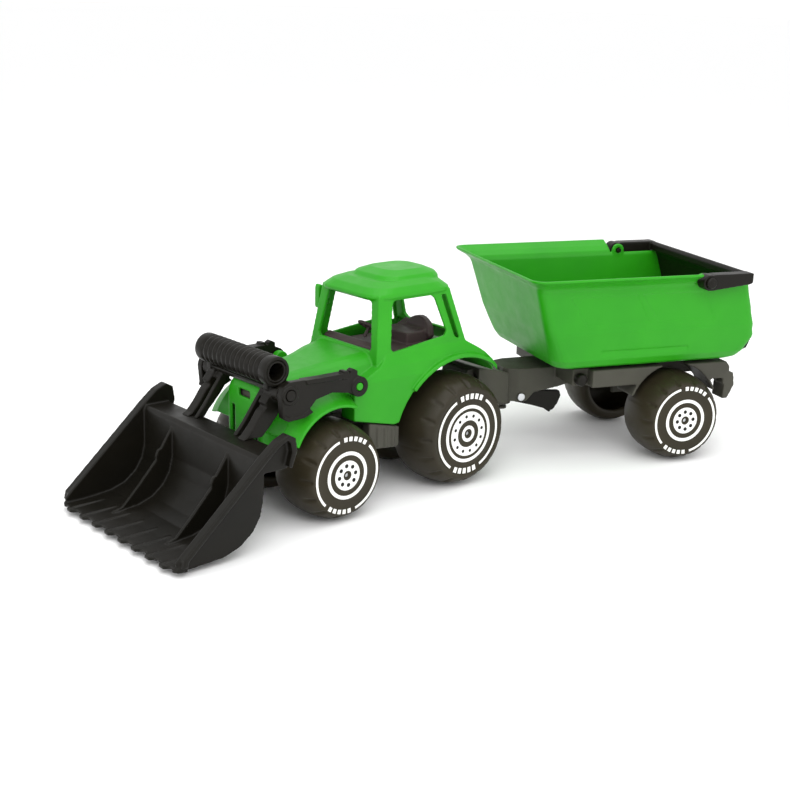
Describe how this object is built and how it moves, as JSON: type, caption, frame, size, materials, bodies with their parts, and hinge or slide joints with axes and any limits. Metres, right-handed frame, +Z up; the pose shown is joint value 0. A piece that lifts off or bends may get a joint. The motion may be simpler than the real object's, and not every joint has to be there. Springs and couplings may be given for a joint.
{
  "type": "toy tractor",
  "caption": "toy farm tractor with a hinged front loader bucket, carrying grip, rolling wheels and a hitched trailer with a tipping bed and swinging tailgate",
  "frame": {"origin": "on the floor, under the centre of the bounding box of the whole toy as posed", "axes": "+X towards the bucket at the front, +Y to the tractor's left, +Z up; the trailer is swung about 20 degrees towards +Y at its rear"},
  "size_m": [0.805, 0.312, 0.2349],
  "materials": {
    "green_plastic": "satin moulded",
    "grey_plastic": "satin moulded",
    "black_plastic": "satin moulded",
    "wheel_plastic": "satin blow moulded, white printed rings on the outer faces",
    "cab_plastic": "satin moulded",
    "steel": "drawn rod"
  },
  "bodies": {
    "tractor": {"tractor_body": "green_plastic", "tractor_chassis": "grey_plastic", "nose_insert": "grey_plastic", "seat_and_floor": "cab_plastic", "dashboard": "cab_plastic", "steering_wheel": "cab_plastic"},
    "front_axle_set": {"front_axle": "steel", "front_wheel_left": "wheel_plastic", "front_wheel_right": "wheel_plastic"},
    "rear_axle_set": {"rear_axle": "steel", "rear_wheel_left": "wheel_plastic", "rear_wheel_right": "wheel_plastic"},
    "loader": {"loader_arm_left": "black_plastic", "loader_arm_right": "black_plastic"},
    "bucket_set": {"grip_yoke": "black_plastic", "grip_sleeve": "black_plastic", "bucket": "black_plastic", "tilt_pin_left": "black_plastic", "tilt_pin_right": "black_plastic"},
    "trailer": {"trailer_chassis": "grey_plastic", "hitch_pin": "grey_plastic", "leg_pin": "steel"},
    "trailer_axle_set": {"trailer_axle": "steel", "trailer_wheel_left": "wheel_plastic", "trailer_wheel_right": "wheel_plastic"},
    "stand": {"support_leg": "black_plastic"},
    "latch": {"latch_bar": "black_plastic"},
    "bed": {"tipper_bed": "green_plastic", "bed_hinge_rod": "steel"},
    "gate": {"tailgate": "black_plastic", "tailgate_knob_left": "black_plastic", "tailgate_knob_right": "black_plastic"}
  },
  "joints": [
    {"name": "front_roll", "type": "hinge", "parent": "tractor", "child": "front_axle_set", "pos_m": [0.18796, -0.04099, 0.0505], "axis": [0, 1, 0], "continuous": true},
    {"name": "rear_roll", "type": "hinge", "parent": "tractor", "child": "rear_axle_set", "pos_m": [0.01797, -0.04099, 0.061], "axis": [0, 1, 0], "continuous": true},
    {"name": "loader_lift", "type": "hinge", "parent": "tractor", "child": "loader", "pos_m": [0.16246, -0.04099, 0.135], "axis": [0, -1, 0], "range_deg": [0, 40]},
    {"name": "bucket_tilt", "type": "hinge", "parent": "loader", "child": "bucket_set", "pos_m": [0.24746, -0.04099, 0.1395], "axis": [0, -1, 0], "range_deg": [-12, 30]},
    {"name": "trailer_yaw", "type": "hinge", "parent": "tractor", "child": "trailer", "pos_m": [-0.11173, -0.04099, 0.0575], "axis": [0, 0, 1], "range_deg": [-12.5, 60]},
    {"name": "trailer_roll", "type": "hinge", "parent": "trailer", "child": "trailer_axle_set", "pos_m": [-0.28226, 0.02175, 0.0505], "axis": [0.3453, 0.9385, 0], "continuous": true},
    {"name": "stand_fold", "type": "hinge", "parent": "trailer", "child": "stand", "pos_m": [-0.11807, -0.02055, 0.0675], "axis": [-0.3453, -0.9385, 0], "range_deg": [0, 70]},
    {"name": "latch_turn", "type": "hinge", "parent": "trailer", "child": "latch", "pos_m": [-0.14763, 0.0468, 0.0975], "axis": [-0.3453, -0.9385, 0], "range_deg": [0, 35]},
    {"name": "bed_tip", "type": "hinge", "parent": "trailer", "child": "bed", "pos_m": [-0.3426, 0.04395, 0.1025], "axis": [-0.3453, -0.9385, 0], "range_deg": [0, 50]},
    {"name": "gate_swing", "type": "hinge", "parent": "bed", "child": "gate", "pos_m": [-0.29662, 0.02703, 0.211], "axis": [0.3453, 0.9385, 0], "range_deg": [0, 70]}
  ]
}
